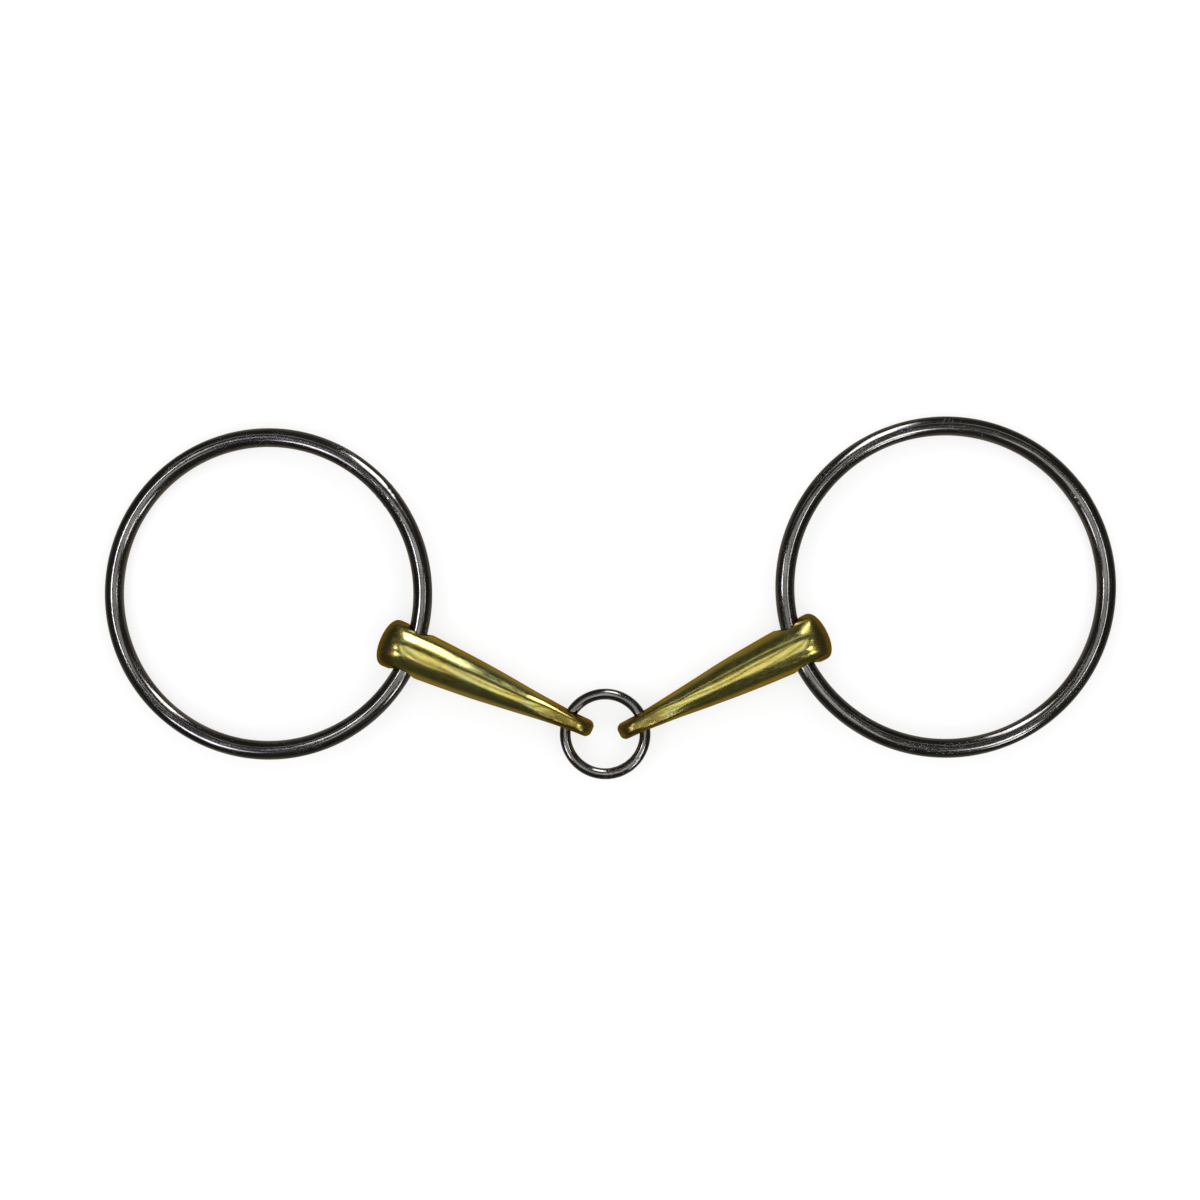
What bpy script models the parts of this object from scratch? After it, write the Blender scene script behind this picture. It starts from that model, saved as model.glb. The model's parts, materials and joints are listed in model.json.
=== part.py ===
"""Loose-ring snaffle bit: two cheek rings, two tapering arms and a centre ring, lying flat.

Metres, +Z up. The bit lies on the plane z = 0 with its mouthpiece along X. The origin is the middle
of its bounding box, on that plane. Run with: blender --background --python part.py
"""

from math import asin, copysign, cos, pi, radians, sin, sqrt

import bmesh
import bpy
from mathutils import Matrix, Vector

# ---------------------------------------------------------------- driving dimensions
CHEEK_WIRE = 0.0055  # wire diameter of a cheek ring
CHEEK_MEAN = {"left": 0.0896, "right": 0.0916}  # diameter of a cheek ring at the middle of its wire
CENTRE_WIRE = 0.0032
CENTRE_MEAN = 0.0228

ARM_LENGTH = 0.0658
ARM_RADIUS = 0.0071  # at the thick end
CHEEK_HOLE_AT = 0.0094  # from the thick end to the middle of the cheek ring's hole
CHEEK_HOLE = 0.0080  # hole diameter
EYE_AT = 0.0591  # from the thick end to the middle of the eye's hole
EYE_HOLE = 0.0064
EYE_DEPTH = 0.0060  # half the eye's size across the plane of the bit
WIRE_AT = 0.0582  # where the centre ring's wire crosses the arm, resting against the eye

# The outline of an arm: (distance from the thick end, half the width in the plane of the bit)
ARM_WIDTH = (
    (0.0040, ARM_RADIUS),
    (0.0120, 0.0069),
    (0.0260, 0.0060),
    (0.0400, 0.0046),
    (0.0550, 0.0029),
    (0.0600, 0.0025),
    (ARM_LENGTH, 0.0024),
)
# The same across the plane of the bit: round as far as the neck, then out again to the eye
ARM_DEPTH = (
    (0.0040, ARM_RADIUS),
    (0.0120, 0.0070),
    (0.0260, 0.0061),
    (0.0400, 0.0049),
    (0.0475, 0.0048),
    (0.0540, 0.0054),
    (EYE_AT, EYE_DEPTH),
)
DOME_LENGTH = 0.0040  # the thick end's dome, seen from above
DOME_SLOPE = 0.0085  # the same dome across the plane of the bit, where it falls away more gently
DOME_BULGE = 2.7  # how square the dome's shoulder is
TIP_ROUNDING = 0.0018  # radius of the tip's corners
ROUND_UNTIL, FLAT_FROM = 0.044, 0.057  # the section turns from round to flat-sided between these
FLAT_SIDED = 3.4  # superellipse exponent of the eye's section; 2 is round

HOLE_FLARE = 0.0004  # radius of the rounded mouth of the cheek hole
HOLE_FLARE_FROM = 0.0067  # distance of that mouth's start from the arm's axis
EYE_FLARE = 0.0009
EYE_FLARE_FROM = 0.0019

# How the bit lies: angles from the X axis, in degrees
ARM_ANGLE = {"left": 23.5, "right": 26.4}
EYE_ANGLE = {"left": 21.3, "right": 18.4}  # where each eye sits round the centre ring
RING_ANGLE = 21.5  # direction from each cheek hole to the middle of its ring
RING_PLAY = 0.00028  # how far the wire's middle stands out from the hole's axis, half its bow
CENTRE_DROP = 0.0004  # how far the centre ring hangs below the middle of the eyes

# Facets
CHEEK_SEGMENTS, CHEEK_SIDES = 72, 12
CENTRE_SEGMENTS, CENTRE_SIDES = 48, 12
ARM_SIDES = 28
HOLE_SIDES = 24

STEEL = (0.30, 0.29, 0.28)
BRASS = (0.72, 0.55, 0.16)


# ---------------------------------------------------------------- where things are
def direction(angle, side):
    """Unit vector that leaves the middle of the bit on one side, at an angle above the X axis."""
    outward = -1 if side == "left" else 1
    return Vector((outward * cos(radians(angle)), sin(radians(angle)), 0))


ARM_TILT = asin((ARM_RADIUS - EYE_DEPTH) / (EYE_AT - CHEEK_HOLE_AT))
EYE_HEIGHT = EYE_DEPTH
CENTRE_HEIGHT = EYE_HEIGHT - CENTRE_DROP


def hole_position(side):
    """The middle of a cheek hole, counted from the middle of the centre ring."""
    crossing = direction(EYE_ANGLE[side], side) * CENTRE_MEAN / 2
    along = direction(ARM_ANGLE[side], side) * cos(ARM_TILT) * (WIRE_AT - CHEEK_HOLE_AT)
    return crossing + along + Vector((0, 0, ARM_RADIUS))


def ring_drop(side):
    """The angle by which a cheek ring leans down from its hole until its far side lies flat."""
    lean = radians(ARM_ANGLE[side] - RING_ANGLE)
    far_side = (CHEEK_MEAN[side] / 2 - RING_PLAY) * cos(lean) + CHEEK_MEAN[side] / 2
    return asin((ARM_RADIUS - CHEEK_WIRE / 2) / far_side)


def ring_middle(side):
    """The middle of a cheek ring, counted from the middle of the centre ring."""
    out = direction(RING_ANGLE, side) * (CHEEK_MEAN[side] / 2 - RING_PLAY)
    return hole_position(side) + out


def bounding_middle():
    """The middle of the bit's outline on the ground, counted from the middle of the centre ring."""
    reach = {side: (CHEEK_MEAN[side] + CHEEK_WIRE) / 2 for side in CHEEK_MEAN}
    left = ring_middle("left").x - reach["left"]
    right = ring_middle("right").x + reach["right"]
    top = max(ring_middle(side).y + reach[side] for side in reach)
    bottom = -(CENTRE_MEAN + CENTRE_WIRE) / 2
    return Vector(((left + right) / 2, (top + bottom) / 2, 0))


# ---------------------------------------------------------------- shapes
def smooth_through(points, at):
    """Value at one place of a smooth curve through (place, value) points, level outside them."""
    if at <= points[0][0]:
        return points[0][1]
    if at >= points[-1][0]:
        return points[-1][1]
    slopes = [0.0]
    for before, after in zip(points, points[2:]):
        slopes.append((after[1] - before[1]) / (after[0] - before[0]))
    slopes.append(0.0)
    for i, (start, end) in enumerate(zip(points, points[1:])):
        if at <= end[0]:
            span = end[0] - start[0]
            t = (at - start[0]) / span
            rise = start[1] * (1 + 2 * t) * (1 - t) ** 2 + end[1] * (3 - 2 * t) * t**2
            bend = slopes[i] * t * (1 - t) ** 2 - slopes[i + 1] * t**2 * (1 - t)
            return rise + bend * span


def dome(at, length):
    """Share of its full thickness that the thick end has at one place of its dome."""
    return sqrt(1 - (1 - at / length) ** DOME_BULGE) if at < length else 1


def half_width(at):
    width = smooth_through(ARM_WIDTH, at) * dome(at, DOME_LENGTH)
    past = at - (ARM_LENGTH - TIP_ROUNDING)
    if past > 0:
        width -= TIP_ROUNDING * (1 - sqrt(1 - min(past / TIP_ROUNDING, 1) ** 2))
    return width


def half_depth(at):
    if at > EYE_AT:
        return EYE_DEPTH * sqrt(max(0, 1 - ((at - EYE_AT) / (ARM_LENGTH - EYE_AT)) ** 2))
    return smooth_through(ARM_DEPTH, at) * dome(at, DOME_SLOPE)


def section_exponent(at):
    t = min(max((at - ROUND_UNTIL) / (FLAT_FROM - ROUND_UNTIL), 0), 1)
    return 2 + (FLAT_SIDED - 2) * t * t * (3 - 2 * t)


def arm_stations():
    """Distances from the thick end at which the arm's sections stand, closer where it is rounder."""
    end = [DOME_LENGTH * (1 - cos(radians(a))) for a in (15, 28, 42, 56, 72, 90)]
    body_steps = 24
    body = [DOME_LENGTH + (EYE_AT - DOME_LENGTH) * i / body_steps for i in range(1, body_steps + 1)]
    tip = [EYE_AT + (ARM_LENGTH - EYE_AT) * sin(radians(a)) for a in (15, 30, 43, 54, 64, 73, 80, 86)]
    return end + body + tip


def bow(value, exponent):
    return copysign(abs(value) ** (2 / exponent), value)


def arm_mesh():
    """An arm without its holes, along +X from its eye, with the cheek hole's middle at the origin."""
    bm = bmesh.new()
    rings = []
    for at in arm_stations():
        exponent = section_exponent(at)
        ring = []
        for i in range(ARM_SIDES):
            turn = 2 * pi * i / ARM_SIDES
            y = half_width(at) * bow(cos(turn), exponent)
            z = half_depth(at) * bow(sin(turn), exponent)
            ring.append(bm.verts.new((CHEEK_HOLE_AT - at, y, z)))
        rings.append(ring)
    for ring, following in zip(rings, rings[1:]):
        for i in range(ARM_SIDES):
            j = (i + 1) % ARM_SIDES
            bm.faces.new((ring[i], following[i], following[j], ring[j]))
    for ring, pole_x in ((rings[0], CHEEK_HOLE_AT), (rings[-1], CHEEK_HOLE_AT - ARM_LENGTH)):
        pole = bm.verts.new((pole_x, 0, 0))
        for i in range(ARM_SIDES):
            bm.faces.new((ring[i], ring[(i + 1) % ARM_SIDES], pole))
    bmesh.ops.recalc_face_normals(bm, faces=bm.faces)
    mesh = bpy.data.meshes.new("arm")
    bm.to_mesh(mesh)
    bm.free()
    return mesh


def spool_mesh(name, radius, flare, flare_from):
    """A drill along Y whose ends widen in a quarter circle, for a hole with rounded mouths."""
    half = [(flare_from, radius)]
    for angle in (30, 60, 90):
        out = flare_from + flare * sin(radians(angle))
        half.append((out, radius + flare * (1 - cos(radians(angle)))))
    half.append((flare_from + 3 * flare, radius + flare))
    profile = [(-y, r) for y, r in reversed(half)] + half
    bm = bmesh.new()
    rings = []
    for y, r in profile:
        turns = [2 * pi * i / HOLE_SIDES for i in range(HOLE_SIDES)]
        rings.append([bm.verts.new((r * cos(a), y, r * sin(a))) for a in turns])
    for ring, following in zip(rings, rings[1:]):
        for i in range(HOLE_SIDES):
            j = (i + 1) % HOLE_SIDES
            bm.faces.new((ring[i], following[i], following[j], ring[j]))
    bm.faces.new(rings[0])
    bm.faces.new(rings[-1])
    bmesh.ops.recalc_face_normals(bm, faces=bm.faces)
    mesh = bpy.data.meshes.new(name)
    bm.to_mesh(mesh)
    bm.free()
    return mesh


# ---------------------------------------------------------------- objects
def clear_scene():
    for obj in list(bpy.data.objects):
        bpy.data.objects.remove(obj, do_unlink=True)


def metal(name, colour, roughness):
    material = bpy.data.materials.new(name)
    material.use_nodes = True
    shader = material.node_tree.nodes["Principled BSDF"]
    shader.inputs["Base Color"].default_value = (*colour, 1)
    shader.inputs["Metallic"].default_value = 1
    shader.inputs["Roughness"].default_value = roughness
    return material


def add_object(name, mesh, parent, offset=(0, 0, 0)):
    obj = bpy.data.objects.new(name, mesh)
    bpy.context.scene.collection.objects.link(obj)
    obj.parent = parent
    obj.location = offset
    return obj


def finish_mesh(obj, material):
    obj.data.materials.append(material)
    obj.data.shade_smooth()
    obj.data.set_sharp_from_angle(angle=radians(35))


def add_ring(name, parent, mean, wire, segments, sides, offset=(0, 0, 0)):
    """A closed ring of round wire in its own XY plane."""
    bpy.ops.mesh.primitive_torus_add(
        major_segments=segments,
        minor_segments=sides,
        major_radius=mean / 2,
        minor_radius=wire / 2,
    )
    ring = bpy.context.object
    ring.name = ring.data.name = name
    ring.parent = parent
    ring.location = offset
    finish_mesh(ring, metal(name + "_steel", STEEL, 0.22))
    return ring


def add_cutter(name, mesh, parent, offset):
    cutter = add_object(name, mesh, parent, offset)
    cutter.hide_render = True
    cutter.display_type = "WIRE"
    return cutter


def add_arm(side, origin):
    """An arm on an empty that stands on the centre ring's axis. Returns an empty in the cheek hole."""
    pivot = add_object(side + "_arm_pivot", None, origin)
    arm = add_object(side + "_arm", arm_mesh(), pivot)
    hole = add_object(side + "_cheek_hole", None, pivot)
    outward = direction(ARM_ANGLE[side], side) * cos(ARM_TILT) + Vector((0, 0, sin(ARM_TILT)))
    across = Vector((0, 0, 1)).cross(outward).normalized()
    turn = Matrix((outward, across, outward.cross(across))).transposed()
    place = Matrix.Translation(hole_position(side)) @ turn.to_4x4()
    arm.matrix_local = hole.matrix_local = place
    drills = (
        ("cheek_drill", CHEEK_HOLE, HOLE_FLARE, HOLE_FLARE_FROM, 0),
        ("eye_drill", EYE_HOLE, EYE_FLARE, EYE_FLARE_FROM, CHEEK_HOLE_AT - EYE_AT),
    )
    for kind, diameter, flare, flare_from, along in drills:
        name = side + "_" + kind
        cutter = add_cutter(name, spool_mesh(name, diameter / 2, flare, flare_from), hole, (along, 0, 0))
        cut = arm.modifiers.new(kind, "BOOLEAN")
        cut.operation = "DIFFERENCE"
        cut.solver = "EXACT"
        cut.object = cutter
    finish_mesh(arm, metal(side + "_arm_brass", BRASS, 0.15))
    return hole


def add_cheek_ring(side, hole):
    """A cheek ring on an empty that turns about the cheek hole's own axis."""
    swing = add_object(side + "_ring_swing", None, hole)
    swing.rotation_euler = (0, ARM_TILT + ring_drop(side), 0)
    lean = radians(RING_ANGLE - ARM_ANGLE[side]) * (-1 if side == "left" else 1)
    reach = CHEEK_MEAN[side] / 2 - RING_PLAY
    offset = (reach * cos(lean), reach * sin(lean), 0)
    name = side + "_cheek_ring"
    add_ring(name, swing, CHEEK_MEAN[side], CHEEK_WIRE, CHEEK_SEGMENTS, CHEEK_SIDES, offset)


def main():
    clear_scene()
    origin = add_object("middle_of_centre_ring", None, None, -bounding_middle())
    add_ring(
        "centre_ring",
        origin,
        CENTRE_MEAN,
        CENTRE_WIRE,
        CENTRE_SEGMENTS,
        CENTRE_SIDES,
        (0, 0, CENTRE_HEIGHT),
    )
    for side in ("left", "right"):
        hole = add_arm(side, origin)
        add_cheek_ring(side, hole)
    bpy.context.view_layer.update()


main()
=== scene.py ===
"""Looks of the loose-ring snaffle bit: fine meshes, metal finishes, floor, light and camera.

Metres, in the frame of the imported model: +Z up, mouthpiece along X, lying on z = 0.
"""

import json
from math import asin, atan2, copysign, cos, exp, pi, radians, sin, sqrt

import bmesh
import bpy
from mathutils import Matrix, Vector, noise


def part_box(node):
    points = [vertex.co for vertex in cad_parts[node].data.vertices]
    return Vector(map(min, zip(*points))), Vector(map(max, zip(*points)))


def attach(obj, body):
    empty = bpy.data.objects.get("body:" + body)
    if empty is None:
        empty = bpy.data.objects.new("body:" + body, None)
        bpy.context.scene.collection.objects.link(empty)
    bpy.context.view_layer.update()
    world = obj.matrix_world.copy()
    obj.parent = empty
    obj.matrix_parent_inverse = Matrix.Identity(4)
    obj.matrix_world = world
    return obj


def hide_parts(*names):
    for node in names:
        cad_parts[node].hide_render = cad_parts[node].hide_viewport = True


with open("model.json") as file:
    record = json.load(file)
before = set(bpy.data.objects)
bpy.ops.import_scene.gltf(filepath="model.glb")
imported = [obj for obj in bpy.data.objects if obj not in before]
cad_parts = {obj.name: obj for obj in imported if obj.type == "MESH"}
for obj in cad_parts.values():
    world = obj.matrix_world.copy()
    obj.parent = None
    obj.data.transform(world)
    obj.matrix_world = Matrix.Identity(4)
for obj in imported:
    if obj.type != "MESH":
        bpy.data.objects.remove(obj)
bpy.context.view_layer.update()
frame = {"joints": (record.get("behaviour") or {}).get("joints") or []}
joints = {joint["name"]: joint for joint in frame["joints"]}

# ---------------------------------------------------------------- sizes, as in the model
CHEEK_WIRE = 0.0055
CHEEK_MEAN = {"left": 0.0896, "right": 0.0916}
CENTRE_WIRE = 0.0032
CENTRE_MEAN = 0.0228

ARM_LENGTH = 0.0658
ARM_RADIUS = 0.0071
CHEEK_HOLE_AT = 0.0094
CHEEK_HOLE = 0.0080
EYE_AT = 0.0591
EYE_HOLE = 0.0064
EYE_DEPTH = 0.0060
ARM_WIDTH = (
    (0.0040, ARM_RADIUS),
    (0.0120, 0.0069),
    (0.0260, 0.0060),
    (0.0400, 0.0046),
    (0.0550, 0.0029),
    (0.0600, 0.0025),
    (ARM_LENGTH, 0.0024),
)
ARM_DEPTH = (
    (0.0040, ARM_RADIUS),
    (0.0120, 0.0070),
    (0.0260, 0.0061),
    (0.0400, 0.0049),
    (0.0475, 0.0048),
    (0.0540, 0.0054),
    (EYE_AT, EYE_DEPTH),
)
DOME_LENGTH = 0.0040
DOME_SLOPE = 0.0085
DOME_BULGE = 2.7
TIP_ROUNDING = 0.0018
ROUND_UNTIL, FLAT_FROM = 0.044, 0.057
FLAT_SIDED = 3.4
HOLE_FLARE = 0.0004
HOLE_FLARE_FROM = 0.0067
EYE_FLARE = 0.0009
EYE_FLARE_FROM = 0.0019
ARM_TILT = asin((ARM_RADIUS - EYE_DEPTH) / (EYE_AT - CHEEK_HOLE_AT))

# ---------------------------------------------------------------- fine shape
CHEEK_SEGMENTS, CHEEK_SIDES = 560, 40
CENTRE_SEGMENTS, CENTRE_SIDES = 300, 36
ARM_STATIONS, ARM_SIDES = 300, 128
STATION_BUNCHING = 0.85  # 0 spaces an arm's stations evenly, 1 bunches them fully at its ends
DRILL_SIDES, DRILL_STEPS, DRILL_STRAIGHT_STEPS = 96, 12, 4
SHARP_FROM = 30  # degrees between faces from which their edge is drawn sharp

# Unevenness: heights and lengths in metres, the other numbers are cells of noise per metre
# along a piece or per radius round it
FLATS = 0.000035  # height of the long flats that polishing leaves on a wire
FLATS_ALONG, FLATS_ROUND = 30, 1.7
WELD_REACH = 0.0045  # half length of the ground-down weld
WELD_HEIGHT = 0.00009
WELD_LEVEL, WELD_UNEVEN = 0.55, 0.9  # the weld's mean and its variation, as shares of its height
WELD_GRAIN = 900
CAST_WAVES = 0.00009  # depth of the slow waves in a polished casting
CAST_ALONG, CAST_ROUND = 90, 260
LINK_WELD_ANGLE, LINK_SEED = -62, 3.1
SIDES = (  # side, angle of the ring's weld in degrees, seeds of the ring and of the arm
    ("left", -117.5, 11.0, 5.0),
    ("right", 8, 47.0, 21.0),
)
MM = 1000


# ---------------------------------------------------------------- shaping helpers
def smooth_through(points, at):
    """Value at one place of a smooth curve through (place, value) points, level outside them."""
    if at <= points[0][0]:
        return points[0][1]
    if at >= points[-1][0]:
        return points[-1][1]
    slopes = [0.0]
    for before, after in zip(points, points[2:]):
        slopes.append((after[1] - before[1]) / (after[0] - before[0]))
    slopes.append(0.0)
    for i, (start, end) in enumerate(zip(points, points[1:])):
        if at <= end[0]:
            span = end[0] - start[0]
            t = (at - start[0]) / span
            rise = start[1] * (1 + 2 * t) * (1 - t) ** 2 + end[1] * (3 - 2 * t) * t**2
            bend = slopes[i] * t * (1 - t) ** 2 - slopes[i + 1] * t**2 * (1 - t)
            return rise + bend * span


def smooth_step(start, end, value):
    t = min(max((value - start) / (end - start), 0), 1)
    return t * t * (3 - 2 * t)


def dome(at, length):
    return sqrt(1 - (1 - at / length) ** DOME_BULGE) if at < length else 1


def half_width(at):
    width = smooth_through(ARM_WIDTH, at) * dome(at, DOME_LENGTH)
    past = at - (ARM_LENGTH - TIP_ROUNDING)
    if past > 0:
        width -= TIP_ROUNDING * (1 - sqrt(1 - min(past / TIP_ROUNDING, 1) ** 2))
    return width


def half_depth(at):
    if at > EYE_AT:
        return EYE_DEPTH * sqrt(max(0, 1 - ((at - EYE_AT) / (ARM_LENGTH - EYE_AT)) ** 2))
    return smooth_through(ARM_DEPTH, at) * dome(at, DOME_SLOPE)


def bow(value, exponent):
    return copysign(abs(value) ** (2 / exponent), value)


def new_piece(name, mesh, place=None):
    """An object whose mesh is moved to its place, so that the object itself is at the origin."""
    if place is not None:
        mesh.transform(place)
    piece = bpy.data.objects.new(name, mesh)
    bpy.context.scene.collection.objects.link(piece)
    return piece


def bridge(bm, rings, close=True):
    """Quads between rings of vertices, each ring closed on itself."""
    count = len(rings[0])
    pairs = list(zip(rings, rings[1:])) + ([(rings[-1], rings[0])] if close else [])
    for ring, following in pairs:
        for i in range(count):
            j = (i + 1) % count
            bm.faces.new((ring[i], following[i], following[j], ring[j]))


def mesh_of(bm, name):
    bmesh.ops.recalc_face_normals(bm, faces=bm.faces)
    mesh = bpy.data.meshes.new(name)
    bm.to_mesh(mesh)
    bm.free()
    mesh.shade_smooth()
    return mesh


def lay_skin(mesh, skin_at):
    """Stores a point of each face corner's own surface, in millimetres, for the finish to follow.

    X and Y lie in the cross-section and Z runs along the piece. skin_at(corner, middle) gives the
    point from the corner and from the middle of its face.
    """
    skin = mesh.attributes.new("skin", "FLOAT_VECTOR", "CORNER")
    for face in mesh.polygons:
        for loop in face.loop_indices:
            corner = mesh.vertices[mesh.loops[loop].vertex_index].co
            skin.data[loop].vector = skin_at(corner, face.center) * MM


# ---------------------------------------------------------------- rings
def wire_swelling(turn, around, mean, seed):
    """How far a drawn, bent, welded and polished wire stands off a true torus, at one place."""
    along = Vector((cos(turn), sin(turn))) * mean / 2 * FLATS_ALONG
    across = Vector((cos(around) * FLATS_ROUND, sin(around) * FLATS_ROUND, seed))
    flats = noise.noise(across + Vector((*along, 0)))
    from_weld = min(turn, 2 * pi - turn) * mean / 2
    bead = exp(-((from_weld / WELD_REACH) ** 2))
    rough = noise.noise(Vector((cos(around), sin(around), from_weld * WELD_GRAIN + seed)))
    return FLATS * flats + bead * WELD_HEIGHT * (WELD_LEVEL + WELD_UNEVEN * rough)


def wire_ring(name, mean, wire, segments, sides, seed):
    """A closed ring of round wire in its own XY plane, with its weld at +X."""
    bm = bmesh.new()
    rings = []
    for i in range(segments):
        turn = 2 * pi * i / segments
        out = Vector((cos(turn), sin(turn), 0))
        ring = []
        for j in range(sides):
            around = 2 * pi * j / sides
            radius = wire / 2 - FLATS + wire_swelling(turn, around, mean, seed)
            rise = Vector((0, 0, radius * sin(around)))
            ring.append(bm.verts.new(out * (mean / 2 + radius * cos(around)) + rise))
        rings.append(ring)
    bridge(bm, rings)
    mesh = mesh_of(bm, name)

    def skin_at(corner, middle):
        turn = atan2(corner.y, corner.x) % (2 * pi)
        if middle.y < 0 and turn < 1:  # the last segment ends at a whole turn, not at nought
            turn += 2 * pi
        across = sqrt(corner.x**2 + corner.y**2) - mean / 2
        return Vector((across, corner.z, turn * mean / 2 + seed))

    lay_skin(mesh, skin_at)
    return mesh


def link_ring():
    """The small ring that joins the arms."""
    low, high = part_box("centre_ring")
    fineness = CENTRE_SEGMENTS, CENTRE_SIDES
    mesh = wire_ring("link_ring", CENTRE_MEAN, CENTRE_WIRE, *fineness, LINK_SEED)
    turn = Matrix.Rotation(radians(LINK_WELD_ANGLE), 4, "Z")
    ring = new_piece("link_ring", mesh, Matrix.Translation((low + high) / 2) @ turn)
    ring.data.materials.append(steel)
    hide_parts("centre_ring")
    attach(ring, "centre_ring")


def cheek_ring(side, weld_angle, seed):
    """A cheek ring, with its weld at an angle in its plane from the arm's outward direction."""
    node = side + "_cheek_ring"
    low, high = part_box(node)
    middle = (low + high) / 2
    swing = joints[side + "_ring_swing"]
    hole, axis = Vector(swing["pos_m"]), Vector(swing["axis"])
    outward = (middle - hole) - (middle - hole).project(axis)
    outward.normalize()
    normal = outward.cross(axis) * (1 if outward.cross(axis).z > 0 else -1)
    turn = Matrix((outward, normal.cross(outward), normal)).transposed().to_4x4()
    place = Matrix.Translation(middle) @ turn @ Matrix.Rotation(radians(weld_angle), 4, "Z")
    fineness = CHEEK_SEGMENTS, CHEEK_SIDES
    mesh = wire_ring(side + "_ring", CHEEK_MEAN[side], CHEEK_WIRE, *fineness, seed)
    ring = new_piece(side + "_ring", mesh, place)
    ring.data.materials.append(steel)
    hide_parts(node)
    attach(ring, node)


# ---------------------------------------------------------------- arms
def arm_mesh(name, seed):
    """An arm without holes, its thick end towards +X and its cheek hole's middle at the origin."""
    bm = bmesh.new()
    rings = []
    for i in range(1, ARM_STATIONS):
        share = i / ARM_STATIONS
        at = ARM_LENGTH * (share - sin(2 * pi * share) / (2 * pi) * STATION_BUNCHING)
        exponent = 2 + (FLAT_SIDED - 2) * smooth_step(ROUND_UNTIL, FLAT_FROM, at)
        width, depth = half_width(at), half_depth(at)
        waves = CAST_WAVES * smooth_step(0, 2 * DOME_LENGTH, at)
        waves *= 1 - smooth_step(FLAT_FROM, ARM_LENGTH, at)
        ring = []
        for j in range(ARM_SIDES):
            turn = 2 * pi * j / ARM_SIDES
            y, z = width * bow(cos(turn), exponent), depth * bow(sin(turn), exponent)
            cell = Vector((at * CAST_ALONG + seed, y * CAST_ROUND, z * CAST_ROUND))
            wave = noise.noise(cell)
            swell = 1 - waves * (1 - wave) / width
            ring.append(bm.verts.new((CHEEK_HOLE_AT - at, y * swell, z * swell)))
        rings.append(ring)
    bridge(bm, rings, close=False)
    for ring, pole_x in ((rings[0], CHEEK_HOLE_AT), (rings[-1], CHEEK_HOLE_AT - ARM_LENGTH)):
        pole = bm.verts.new((pole_x, 0, 0))
        for i in range(ARM_SIDES):
            bm.faces.new((ring[i], ring[(i + 1) % ARM_SIDES], pole))
    return mesh_of(bm, name)


def drill_mesh(name, radius, flare, flare_from):
    """A drill along Y whose ends widen in a quarter circle, for a hole with rounded mouths."""
    steps = DRILL_STRAIGHT_STEPS
    half = [(flare_from * i / steps, radius) for i in range(1, steps + 1)]
    for i in range(1, DRILL_STEPS + 1):
        angle = radians(90 * i / DRILL_STEPS)
        half.append((flare_from + flare * sin(angle), radius + flare * (1 - cos(angle))))
    half.append((flare_from + 3 * flare, radius + flare))  # on past the arm's surface
    profile = [(-y, r) for y, r in reversed(half)] + [(0, radius)] + half
    bm = bmesh.new()
    rings = []
    for y, r in profile:
        turns = [2 * pi * i / DRILL_SIDES for i in range(DRILL_SIDES)]
        rings.append([bm.verts.new((r * cos(a), y, r * sin(a))) for a in turns])
    bridge(bm, rings, close=False)
    bm.faces.new(rings[0])
    bm.faces.new(rings[-1])
    return mesh_of(bm, name)


def drill(arm, mesh, along):
    """Cuts a hole at a distance along the arm from the cheek hole."""
    cutter = new_piece(mesh.name, mesh, Matrix.Translation((along, 0, 0)))
    cut = arm.modifiers.new("drill", "BOOLEAN")
    cut.operation = "DIFFERENCE"
    cut.solver = "EXACT"
    cut.object = cutter
    bpy.context.view_layer.update()
    graph = bpy.context.evaluated_depsgraph_get()
    drilled = bpy.data.meshes.new_from_object(arm.evaluated_get(graph))
    arm.modifiers.clear()
    arm.data = drilled
    bpy.data.objects.remove(cutter)


def mouth_arm(side, seed):
    """A tapering arm, with the cheek ring's hole in its thick end and an eye in its tip."""
    node = side + "_arm"
    swing = joints[side + "_ring_swing"]
    hole, axis = Vector(swing["pos_m"]), Vector(swing["axis"])
    level = axis.cross(Vector((0, 0, 1)))
    level *= copysign(1, level.x * hole.x)
    outward = level * cos(ARM_TILT) + Vector((0, 0, sin(ARM_TILT)))
    across = Vector((0, 0, 1)).cross(outward).normalized()
    place = Matrix((outward, across, outward.cross(across))).transposed().to_4x4()
    name = side + "_mouth_arm"
    arm = new_piece(name, arm_mesh(name, seed))
    cheek_drill = drill_mesh("cheek_drill", CHEEK_HOLE / 2, HOLE_FLARE, HOLE_FLARE_FROM)
    eye_drill = drill_mesh("eye_drill", EYE_HOLE / 2, EYE_FLARE, EYE_FLARE_FROM)
    drill(arm, cheek_drill, 0)
    drill(arm, eye_drill, CHEEK_HOLE_AT - EYE_AT)
    arm.data.shade_smooth()
    arm.data.set_sharp_from_angle(angle=radians(SHARP_FROM))

    def skin_at(corner, middle):  # moved sideways by the seed, so that the arms differ
        return Vector((corner.y + seed / 10, corner.z, corner.x))

    lay_skin(arm.data, skin_at)
    arm.data.materials.clear()
    arm.data.materials.append(brass)
    arm.data.transform(Matrix.Translation(hole) @ place)
    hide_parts(node)
    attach(arm, node)


# ---------------------------------------------------------------- finishes
# Where an arm's grime and painted shade begin and are full, in millimetres outward from its cheek
# hole
DOME_GRIME_AND_SHADE = (2.2, 4.4)
TIP_GRIME_AND_SHADE = (-37, -47)


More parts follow.
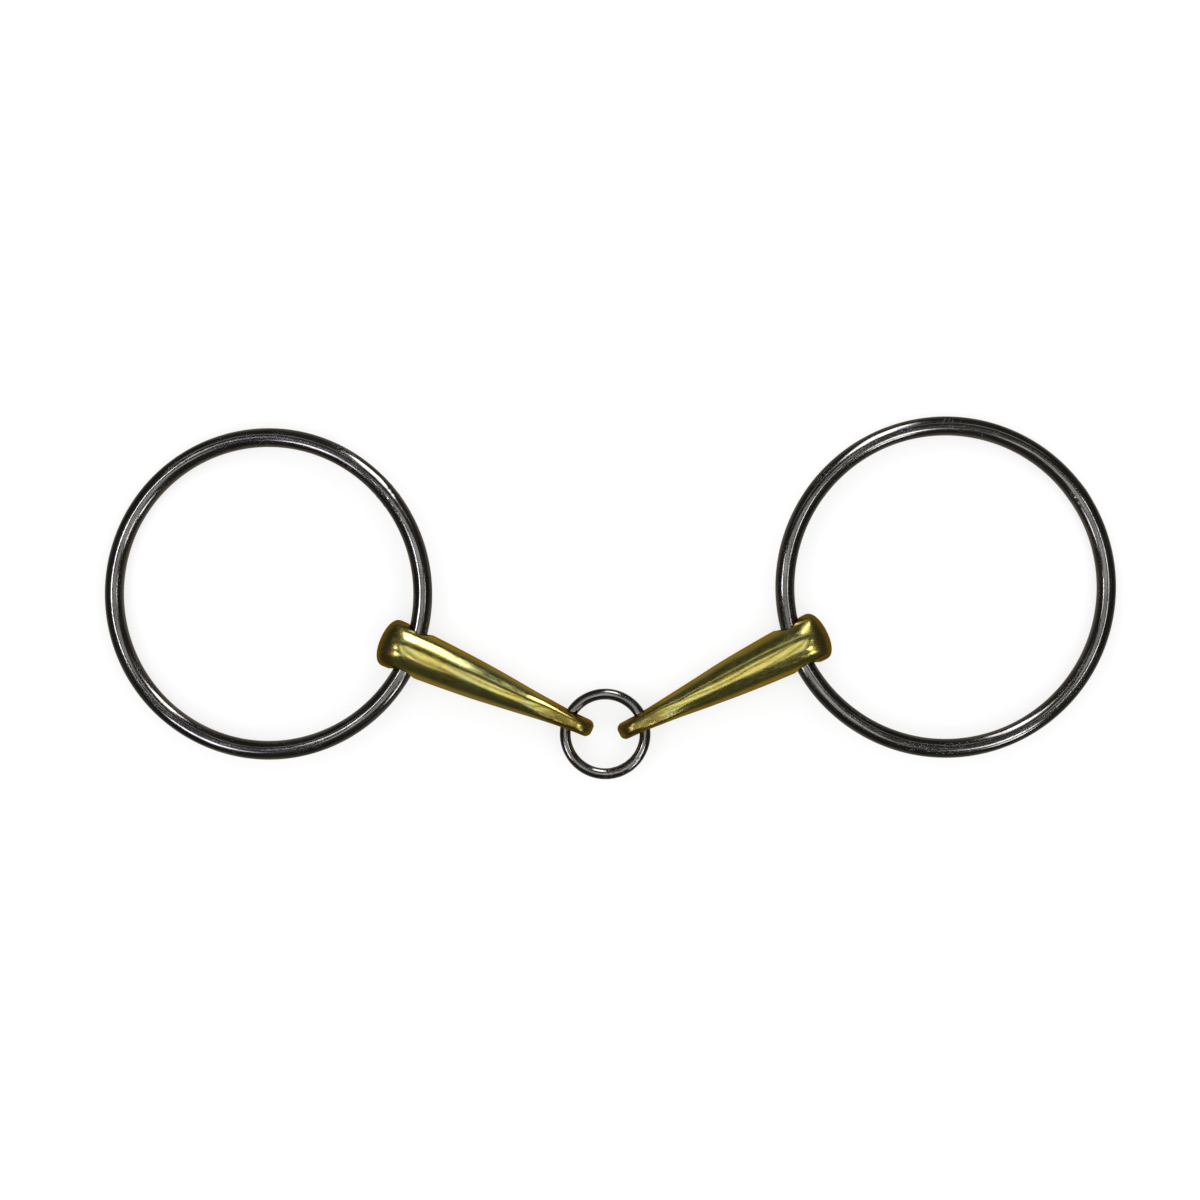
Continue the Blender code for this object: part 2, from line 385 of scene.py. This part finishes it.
class Finish:
    """A metal whose node tree is built line by line."""

    def __init__(self, name):
        self.material = bpy.data.materials.new(name)
        self.material.use_nodes = True
        self.tree = self.material.node_tree
        self.shader = self.tree.nodes["Principled BSDF"]
        self.shader.inputs["Metallic"].default_value = 1
        skin = self.add("ShaderNodeAttribute")
        skin.attribute_name = "skin"
        self.skin = skin.outputs["Vector"]

    def add(self, kind, **settings):
        node = self.tree.nodes.new(kind)
        for name, value in settings.items():
            setattr(node, name, value)
        return node

    def feed(self, socket, value):
        """Links an output to a socket, or sets a plain value on it."""
        if isinstance(value, bpy.types.NodeSocket):
            self.tree.links.new(value, socket)
        else:
            socket.default_value = value

    def along(self):
        """How far along the piece a place is, in millimetres."""
        parts = self.add("ShaderNodeSeparateXYZ")
        self.feed(parts.inputs["Vector"], self.skin)
        return parts.outputs["Z"]

    def stretched(self, across, along):
        """The skin's place, scaled across and along the piece, in cells per millimetre."""
        scale = self.add("ShaderNodeVectorMath", operation="MULTIPLY")
        self.feed(scale.inputs[0], self.skin)
        scale.inputs[1].default_value = (across, across, along)
        return scale.outputs["Vector"]

    def noise(self, place, detail=3.0, roughness=0.55, distortion=0.0):
        node = self.add("ShaderNodeTexNoise")
        self.feed(node.inputs["Vector"], place)
        node.inputs["Scale"].default_value = 1
        node.inputs["Detail"].default_value = detail
        node.inputs["Roughness"].default_value = roughness
        node.inputs["Distortion"].default_value = distortion
        return node.outputs["Fac"]

    def cells(self, place):
        node = self.add("ShaderNodeTexVoronoi", feature="F1")
        self.feed(node.inputs["Vector"], place)
        node.inputs["Scale"].default_value = 1
        return node.outputs["Distance"]

    def ramp(self, value, start, end, low=0.0, high=1.0):
        """Eases from low to high while the value goes from start to end, which may lie below it."""
        node = self.add("ShaderNodeMapRange", interpolation_type="SMOOTHSTEP")
        self.feed(node.inputs["Value"], value)
        node.inputs["From Min"].default_value = start
        node.inputs["From Max"].default_value = end
        node.inputs["To Min"].default_value = low
        node.inputs["To Max"].default_value = high
        return node.outputs["Result"]

    def maths(self, first, second, operation="ADD"):
        node = self.add("ShaderNodeMath", operation=operation)
        self.feed(node.inputs[0], first)
        self.feed(node.inputs[1], second)
        return node.outputs["Value"]

    def mix(self, share, first, second):
        """A colour between two, each an output or three numbers. Share 0 is the first."""
        node = self.add("ShaderNodeMix", data_type="RGBA")
        self.feed(node.inputs[0], share)
        for socket, colour in ((6, first), (7, second)):  # A and B of a node that mixes colours
            self.feed(node.inputs[socket], (*colour, 1) if isinstance(colour, tuple) else colour)
        return node.outputs[2]

    def relief(self, height, depth, under=None):
        """A bump of a depth in metres, on top of another one."""
        node = self.add("ShaderNodeBump")
        self.feed(node.inputs["Height"], height)
        node.inputs["Strength"].default_value = 1
        node.inputs["Distance"].default_value = depth
        if under is not None:
            self.feed(node.inputs["Normal"], under)
        return node.outputs["Normal"]

    def done(self, colour, roughness, normal):
        self.feed(self.shader.inputs["Base Color"], colour)
        self.feed(self.shader.inputs["Roughness"], roughness)
        self.feed(self.shader.inputs["Normal"], normal)
        return self.material


def drawn_steel():
    """Polished steel wire: drawing lines along it, small pits, and slow changes of tone."""
    metal = Finish("drawn_steel")
    lines = metal.noise(metal.stretched(2.6, 0.05), detail=5, roughness=0.65)
    fine_lines = metal.noise(metal.stretched(14.0, 0.35), detail=3)
    tone = metal.noise(metal.stretched(0.5, 0.09), detail=4)
    dirt = metal.noise(metal.stretched(1.8, 0.7), detail=6, roughness=0.7)
    pit_field = metal.ramp(metal.noise(metal.stretched(0.25, 0.12)), 0.48, 0.66)
    pits = metal.ramp(metal.cells(metal.stretched(3.2, 2.2)), 0.30, 0.10)
    pits = metal.maths(pits, pit_field, "MULTIPLY")
    colour = metal.mix(metal.ramp(tone, 0.35, 0.65), (0.32, 0.315, 0.31), (0.20, 0.195, 0.19))
    colour = metal.mix(metal.ramp(dirt, 0.56, 0.74, 0, 0.5), colour, (0.12, 0.108, 0.095))
    roughness = metal.ramp(lines, 0.3, 0.7, 0.09, 0.17)
    roughness = metal.maths(roughness, metal.ramp(dirt, 0.5, 0.8, 0, 0.12))
    roughness = metal.maths(roughness, metal.ramp(pits, 0, 1, 0, 0.25))
    normal = metal.relief(lines, 0.000006)
    normal = metal.relief(fine_lines, 0.000004, normal)
    normal = metal.relief(metal.maths(1.0, pits, "SUBTRACT"), 0.00003, normal)
    return metal.done(colour, roughness, normal)


def polished_brass():
    """Polished brass casting: a faint olive film, fine scratches, and at both ends dull grime mixed
    with painted shade.
    """
    metal = Finish("polished_brass")
    film = metal.noise(metal.stretched(0.22, 0.12), detail=5, roughness=0.6, distortion=0.4)
    smears = metal.noise(metal.stretched(1.6, 0.35), detail=5, roughness=0.65)
    scratches = metal.noise(metal.stretched(9.0, 0.5), detail=3, roughness=0.7, distortion=1.2)
    orange_peel = metal.noise(metal.stretched(0.9, 0.55), detail=2)
    tarnish = metal.noise(metal.stretched(0.35, 0.08), detail=3, distortion=0.8)
    colour = metal.mix(metal.ramp(film, 0.4, 0.7), (0.80, 0.70, 0.205), (0.68, 0.57, 0.13))
    colour = metal.mix(metal.ramp(tarnish, 0.48, 0.68, 0, 0.7), colour, (0.62, 0.66, 0.30))
    colour = metal.mix(metal.ramp(smears, 0.55, 0.75, 0, 0.35), colour, (0.50, 0.42, 0.12))
    along = metal.along()
    ends = metal.maths(metal.ramp(along, *DOME_GRIME_AND_SHADE), metal.ramp(along, *TIP_GRIME_AND_SHADE))
    grime_and_shade = metal.maths(ends, metal.ramp(smears, 0.3, 0.6, 0.45, 1), "MULTIPLY")
    # Painted shade mixed with grime: the base colour darkens to dull brown towards the dome and the
    # tip, where the ends fall dark
    colour = metal.mix(metal.ramp(grime_and_shade, 0, 1, 0, 0.75), colour, (0.19, 0.125, 0.03))
    roughness = metal.ramp(smears, 0.35, 0.7, 0.13, 0.24)
    roughness = metal.maths(roughness, metal.ramp(scratches, 0.5, 0.8, 0, 0.06))
    roughness = metal.maths(roughness, metal.ramp(grime_and_shade, 0, 1, 0, 0.10))
    normal = metal.relief(orange_peel, 0.000008)
    normal = metal.relief(scratches, 0.0000012, normal)
    metal.shader.inputs["Specular Tint"].default_value = (0.85, 0.45, 0.08, 1)
    return metal.done(colour, roughness, normal)


# ---------------------------------------------------------------- studio
FLOOR_SIZE, FLOOR_LEVEL = 12, -0.00005  # just below the bit, so that no faces coincide
CEILING = 0.5  # height of the lamps overhead
LENS, SENSOR = 63.13, 36  # millimetres
CAMERA_AIM = Vector((-0.0020, -0.0005, 0.0056))
CAMERA_SIDE = Vector((0.0262, 0.0262, 1))  # seen from the bit: 1.5 degrees to +X and to +Y of +Z
CAMERA_DISTANCE = 0.600
ROOM = (  # what the metal mirrors, from straight below (0) over the horizon (0.5) to overhead (1)
    (0.00, (0.32, 0.28, 0.22)),
    (0.17, (0.26, 0.225, 0.17)),
    (0.34, (0.15, 0.130, 0.10)),
    (0.48, (0.035, 0.033, 0.029)),
    (0.72, (0.022, 0.023, 0.020)),
    (0.86, (0.030, 0.031, 0.027)),
    (0.97, (0.050, 0.052, 0.046)),
    (1.00, (0.060, 0.063, 0.055)),
)


def floor():
    """A plain pale floor. The metal mirrors the room's dim lower half instead of it."""
    bpy.ops.mesh.primitive_plane_add(size=FLOOR_SIZE, location=(0, 0, FLOOR_LEVEL))
    plane = bpy.context.object
    plane.name = "floor"
    material = bpy.data.materials.new("pale_floor")
    material.use_nodes = True
    tree = material.node_tree
    tree.nodes.clear()
    lit = tree.nodes.new("ShaderNodeBsdfDiffuse")
    lit.inputs["Color"].default_value = (0.86, 0.86, 0.86, 1)
    glow = tree.nodes.new("ShaderNodeEmission")  # keeps the shadows on the floor faint
    glow.inputs["Color"].default_value = (1, 1, 1, 1)
    seen = tree.nodes.new("ShaderNodeMixShader")
    seen.inputs["Fac"].default_value = 0.7
    mirrored = tree.nodes.new("ShaderNodeBsdfTransparent")
    path = tree.nodes.new("ShaderNodeLightPath")
    choice = tree.nodes.new("ShaderNodeMixShader")
    output = tree.nodes.new("ShaderNodeOutputMaterial")
    tree.links.new(lit.outputs["BSDF"], seen.inputs[1])
    tree.links.new(glow.outputs["Emission"], seen.inputs[2])
    tree.links.new(path.outputs["Is Glossy Ray"], choice.inputs["Fac"])
    tree.links.new(seen.outputs["Shader"], choice.inputs[1])
    tree.links.new(mirrored.outputs["BSDF"], choice.inputs[2])
    tree.links.new(choice.outputs["Shader"], output.inputs["Surface"])
    plane.data.materials.append(material)


def surroundings():
    """A bright even room for the floor, and in the metal a dark one under a dim ceiling."""
    world = bpy.data.worlds.new("studio")
    bpy.context.scene.world = world
    world.use_nodes = True
    tree = world.node_tree
    tree.nodes.clear()
    place = tree.nodes.new("ShaderNodeTexCoord")
    height = tree.nodes.new("ShaderNodeSeparateXYZ")
    share = tree.nodes.new("ShaderNodeMapRange")  # makes -1 to 1 (overhead) into 0 to 1
    share.inputs["From Min"].default_value = -1
    ramp = tree.nodes.new("ShaderNodeValToRGB")
    while len(ramp.color_ramp.elements) < len(ROOM):
        ramp.color_ramp.elements.new(0.5)
    for element, (at, colour) in zip(ramp.color_ramp.elements, ROOM):
        element.position = at
        element.color = (*colour, 1)
    dark = tree.nodes.new("ShaderNodeBackground")
    bright = tree.nodes.new("ShaderNodeBackground")
    bright.inputs["Color"].default_value = (1, 1, 1, 1)
    path = tree.nodes.new("ShaderNodeLightPath")
    choice = tree.nodes.new("ShaderNodeMixShader")
    output = tree.nodes.new("ShaderNodeOutputWorld")
    tree.links.new(place.outputs["Generated"], height.inputs["Vector"])
    tree.links.new(height.outputs["Z"], share.inputs["Value"])
    tree.links.new(share.outputs["Result"], ramp.inputs["Fac"])
    tree.links.new(ramp.outputs["Color"], dark.inputs["Color"])
    tree.links.new(path.outputs["Is Glossy Ray"], choice.inputs["Fac"])
    tree.links.new(bright.outputs["Background"], choice.inputs[1])
    tree.links.new(dark.outputs["Background"], choice.inputs[2])
    tree.links.new(choice.outputs["Shader"], output.inputs["Surface"])


def lamp(name, place, turn, size, brightness, colour):
    """A rectangular lamp, unseen by the camera. A mirror shows its brightness, 1 being white."""
    light = bpy.data.lights.new(name, "AREA")
    light.shape = "RECTANGLE"
    light.size, light.size_y = size
    light.energy = brightness * 4 * size[0] * size[1]
    light.color = colour
    holder = bpy.data.objects.new(name, light)
    bpy.context.scene.collection.objects.link(holder)
    holder.location = place
    holder.rotation_euler = turn
    holder.visible_camera = False


def softbox(name, bearing, zenith, distance, size, brightness, colour):
    """A lamp that faces the bit, seen from it at a bearing from +X and an angle from overhead."""
    bearing, zenith = radians(bearing), radians(zenith)
    out = Vector((sin(zenith) * cos(bearing), sin(zenith) * sin(bearing), cos(zenith)))
    lamp(name, out * distance, out.to_track_quat("Z", "Y").to_euler(), size, brightness, colour)


def ceiling_strip(name, x, y, size, brightness, colour):
    """A lamp in the ceiling that shines straight down."""
    lamp(name, (x, y, CEILING), (0, 0, 0), size, brightness, colour)


def studio_lights():
    warm, violet, plain = (1.0, 0.97, 0.90), (0.93, 0.88, 1.0), (1.0, 1.0, 1.0)
    softbox("near_lamp", 80, 60, 0.26, (0.09, 0.15), 4.2, plain)
    softbox("back_strip", 92, 38, 0.62, (1.10, 0.05), 0.5, warm)
    ceiling_strip("left_strip", -0.12, -0.06, (0.06, 0.40), 0.9, warm)
    ceiling_strip("middle_strip", 0.0, -0.06, (0.085, 0.40), 0.8, warm)
    ceiling_strip("right_strip", 0.115, -0.06, (0.06, 0.40), 0.9, warm)
    softbox("left_side", 171, 31.5, 0.587, (0.13, 0.05), 4.5, plain)
    softbox("left_spot", 178, 32.5, 0.594, (0.045, 0.06), 8, violet)
    softbox("right_side", 0, 31, 0.583, (0.12, 0.045), 4.5, plain)
    softbox("left_front", 215, 42, 0.66, (0.14, 0.15), 4, violet)
    softbox("right_front", 320, 40, 0.65, (0.12, 0.15), 4, plain)
    softbox("far_front", 310, 60, 1.00, (0.18, 0.18), 4, plain)


def camera():
    """The camera looks down on the bit, almost straight."""
    lens = bpy.data.cameras.new("camera")
    lens.sensor_width = SENSOR
    lens.lens = LENS
    holder = bpy.data.objects.new("camera", lens)
    bpy.context.scene.collection.objects.link(holder)
    back = CAMERA_SIDE.normalized()
    right = Vector((0, 1, 0)).cross(back).normalized()
    turn = Matrix((right, back.cross(right), back)).transposed().to_4x4()
    holder.matrix_world = Matrix.Translation(CAMERA_AIM + back * CAMERA_DISTANCE) @ turn
    bpy.context.scene.camera = holder
    bpy.context.scene.view_settings.view_transform = "Standard"


steel = drawn_steel()
brass = polished_brass()
link_ring()
for side, weld_angle, ring_seed, arm_seed in SIDES:
    cheek_ring(side, weld_angle, ring_seed)
    mouth_arm(side, arm_seed)
floor()
surroundings()
studio_lights()
camera()

bpy.context.view_layer.update()
